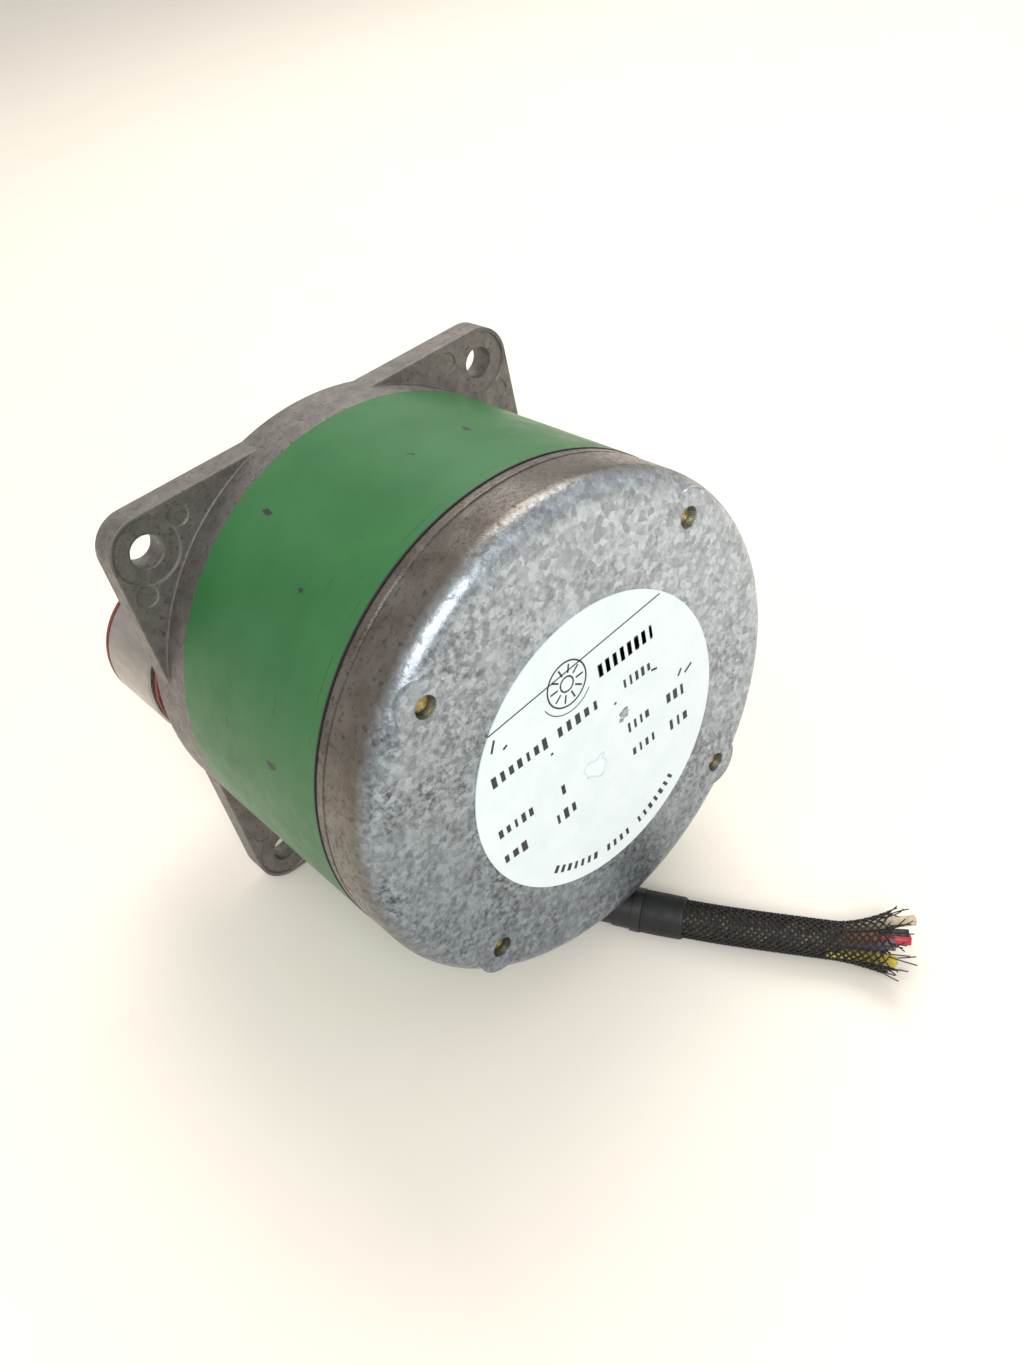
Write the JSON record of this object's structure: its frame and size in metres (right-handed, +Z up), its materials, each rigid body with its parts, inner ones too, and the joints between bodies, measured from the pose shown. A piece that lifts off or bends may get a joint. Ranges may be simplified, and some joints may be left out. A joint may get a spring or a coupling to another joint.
{
  "type": "stepper motor with lead screw",
  "caption": "Round-bodied hybrid stepper motor with a square die-cast flange, pinned lead screw, side roller, deep rear cap and a short braided cable cut open at its end",
  "frame": {"origin": "on the shaft axis, in the flange's mounting face", "axes": "+Y out along the shaft and lead screw, -Y towards the rear cap, +Z up with the flange sides square to X and Z; the cable leaves the cap downwards"},
  "size_m": [0.0855, 0.1691, 0.0999],
  "materials": {
    "bell_casting": "as-cast, dulled",
    "cap_casting": "as-cast, spangled",
    "green_paint": "satin paint with chips",
    "label_paper": "printed paper, worn",
    "laminations": "ground electrical steel",
    "insulator": "moulded",
    "copper_winding": "enamelled copper wire",
    "lead_insulation": "insulated wire",
    "magnet": "ground magnet",
    "ground_steel": "ground",
    "screw_steel": "turned",
    "spring_steel": "rolled",
    "screw_brass": "yellow passivated",
    "fibre": "red-brown vulcanised fibre",
    "dark_steel": "blackened",
    "roller_metal": "turned, smooth",
    "grommet_rubber": "moulded",
    "braid": "braided monofilament",
    "shrink_tube": "shrunk tube",
    "bearing_steel": "ground",
    "ball_chrome": "polished",
    "cage_brass": "pressed"
  },
  "bodies": {
    "housing": {"front_bell": "bell_casting", "stator_shell": "green_paint", "rear_cap": "cap_casting", "rear_label": "label_paper", "stator_core": "laminations", "front_insulator": "insulator", "rear_insulator": "insulator", "phase_a_coils": "copper_winding", "phase_b_coils": "copper_winding", "inner_leads": "lead_insulation", "front_bearing_outer": "bearing_steel", "front_bearing_shields": "spring_steel", "rear_bearing_outer": "bearing_steel", "rear_bearing_shields": "spring_steel", "wave_washer": "spring_steel", "tie_screws": "screw_brass", "roller_stud": "ground_steel", "roller_back_washer": "fibre", "roller_spacer": "dark_steel", "cable_grommet": "grommet_rubber", "cable_sleeve": "braid", "heat_shrink": "shrink_tube", "sleeve_flare": "braid", "lead_ends": "lead_insulation"},
    "rotor": {"motor_shaft": "ground_steel", "lead_screw": "screw_steel", "lead_screw_pin": "ground_steel", "rotor_front_stack": "laminations", "rotor_magnet": "magnet", "rotor_rear_stack": "laminations", "front_bearing_inner": "bearing_steel", "rear_bearing_inner": "bearing_steel"},
    "front_ball_train": {"front_bearing_balls": "ball_chrome", "front_bearing_cage": "cage_brass"},
    "rear_ball_train": {"rear_bearing_balls": "ball_chrome", "rear_bearing_cage": "cage_brass"},
    "roller": {"side_roller": "roller_metal", "roller_front_washer": "fibre"}
  },
  "joints": [
    {"name": "rotor_spin", "type": "hinge", "parent": "housing", "child": "rotor", "pos_m": [0, 0, 0], "axis": [0, 1, 0], "continuous": true},
    {"name": "front_balls_orbit", "type": "hinge", "parent": "housing", "child": "front_ball_train", "pos_m": [0, -0.00757, 0], "axis": [0, 1, 0], "continuous": true},
    {"name": "rear_balls_orbit", "type": "hinge", "parent": "housing", "child": "rear_ball_train", "pos_m": [0, -0.05417, 0], "axis": [0, 1, 0], "continuous": true},
    {"name": "roller_spin", "type": "hinge", "parent": "housing", "child": "roller", "pos_m": [-0.0292, 0.01185, 0.0036], "axis": [0, 1, 0], "continuous": true}
  ],
  "couplings": [
    {"joint": "front_balls_orbit", "follows": "rotor_spin", "ratio": 0.3804},
    {"joint": "rear_balls_orbit", "follows": "rotor_spin", "ratio": 0.3804}
  ]
}
